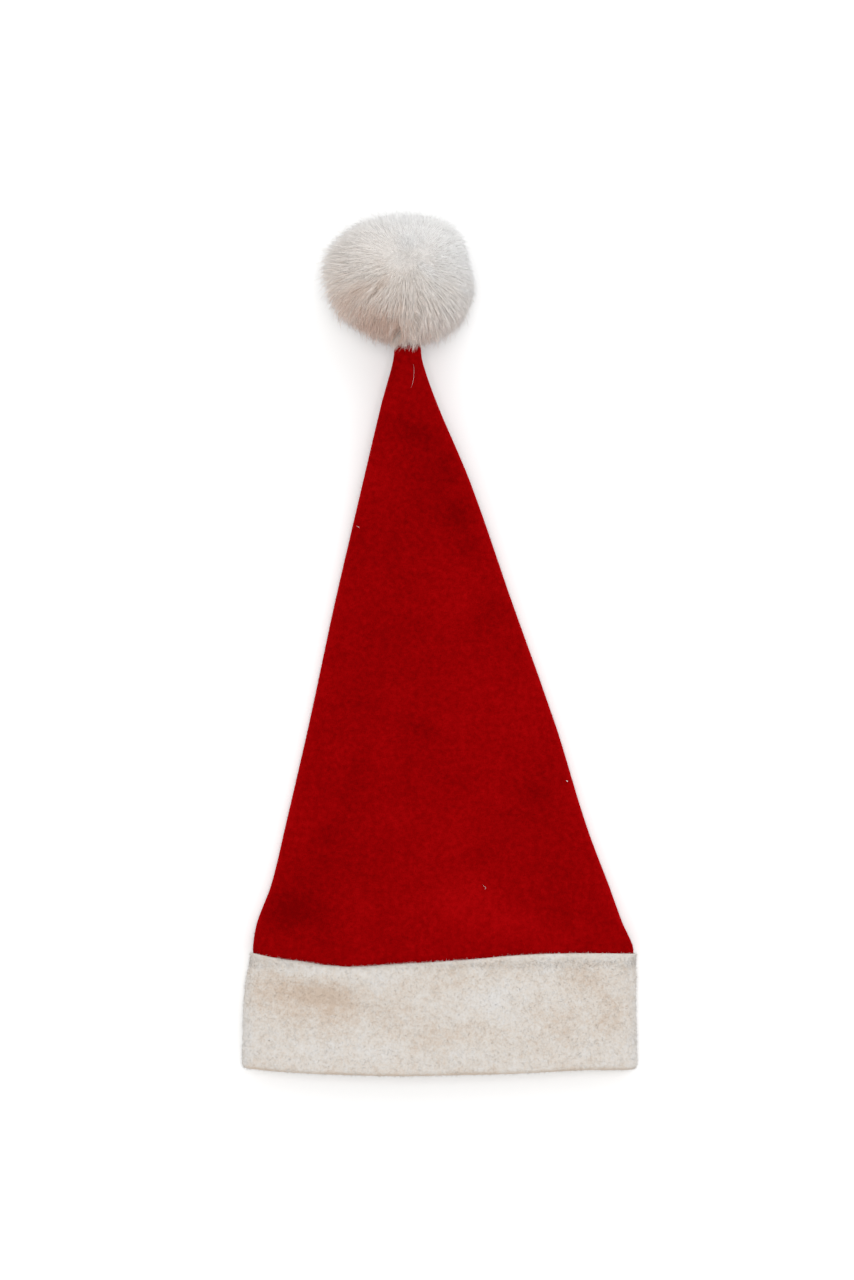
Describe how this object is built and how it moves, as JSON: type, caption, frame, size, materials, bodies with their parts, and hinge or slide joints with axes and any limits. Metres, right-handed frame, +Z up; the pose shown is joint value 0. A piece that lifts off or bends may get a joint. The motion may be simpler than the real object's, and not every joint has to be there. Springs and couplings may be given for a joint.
{
  "type": "santa hat",
  "caption": "Soft red santa hat lying flat on its back: a long knit cone, a wide cream fleece cuff folded over its hem, and a white fur pompom at the tip.",
  "frame": {"origin": "on the floor that the hat lies on, under the middle of the hat's box", "axes": "+Y from the cuff's rim to the pompom, +Z up from the floor, +X to the right seen from above"},
  "size_m": [0.2598, 0.5616, 0.0834],
  "materials": {
    "crown_cloth": "plain deep red knit, brushed and matte",
    "cuff_fleece": "cream fleece with a granular nap, mottled with tan",
    "pompom_fur": "soft warm white fur, dense and fine"
  },
  "bodies": {
    "root": {"crown": "crown_cloth", "cuff": "cuff_fleece", "pompom": "pompom_fur"}
  },
  "joints": []
}
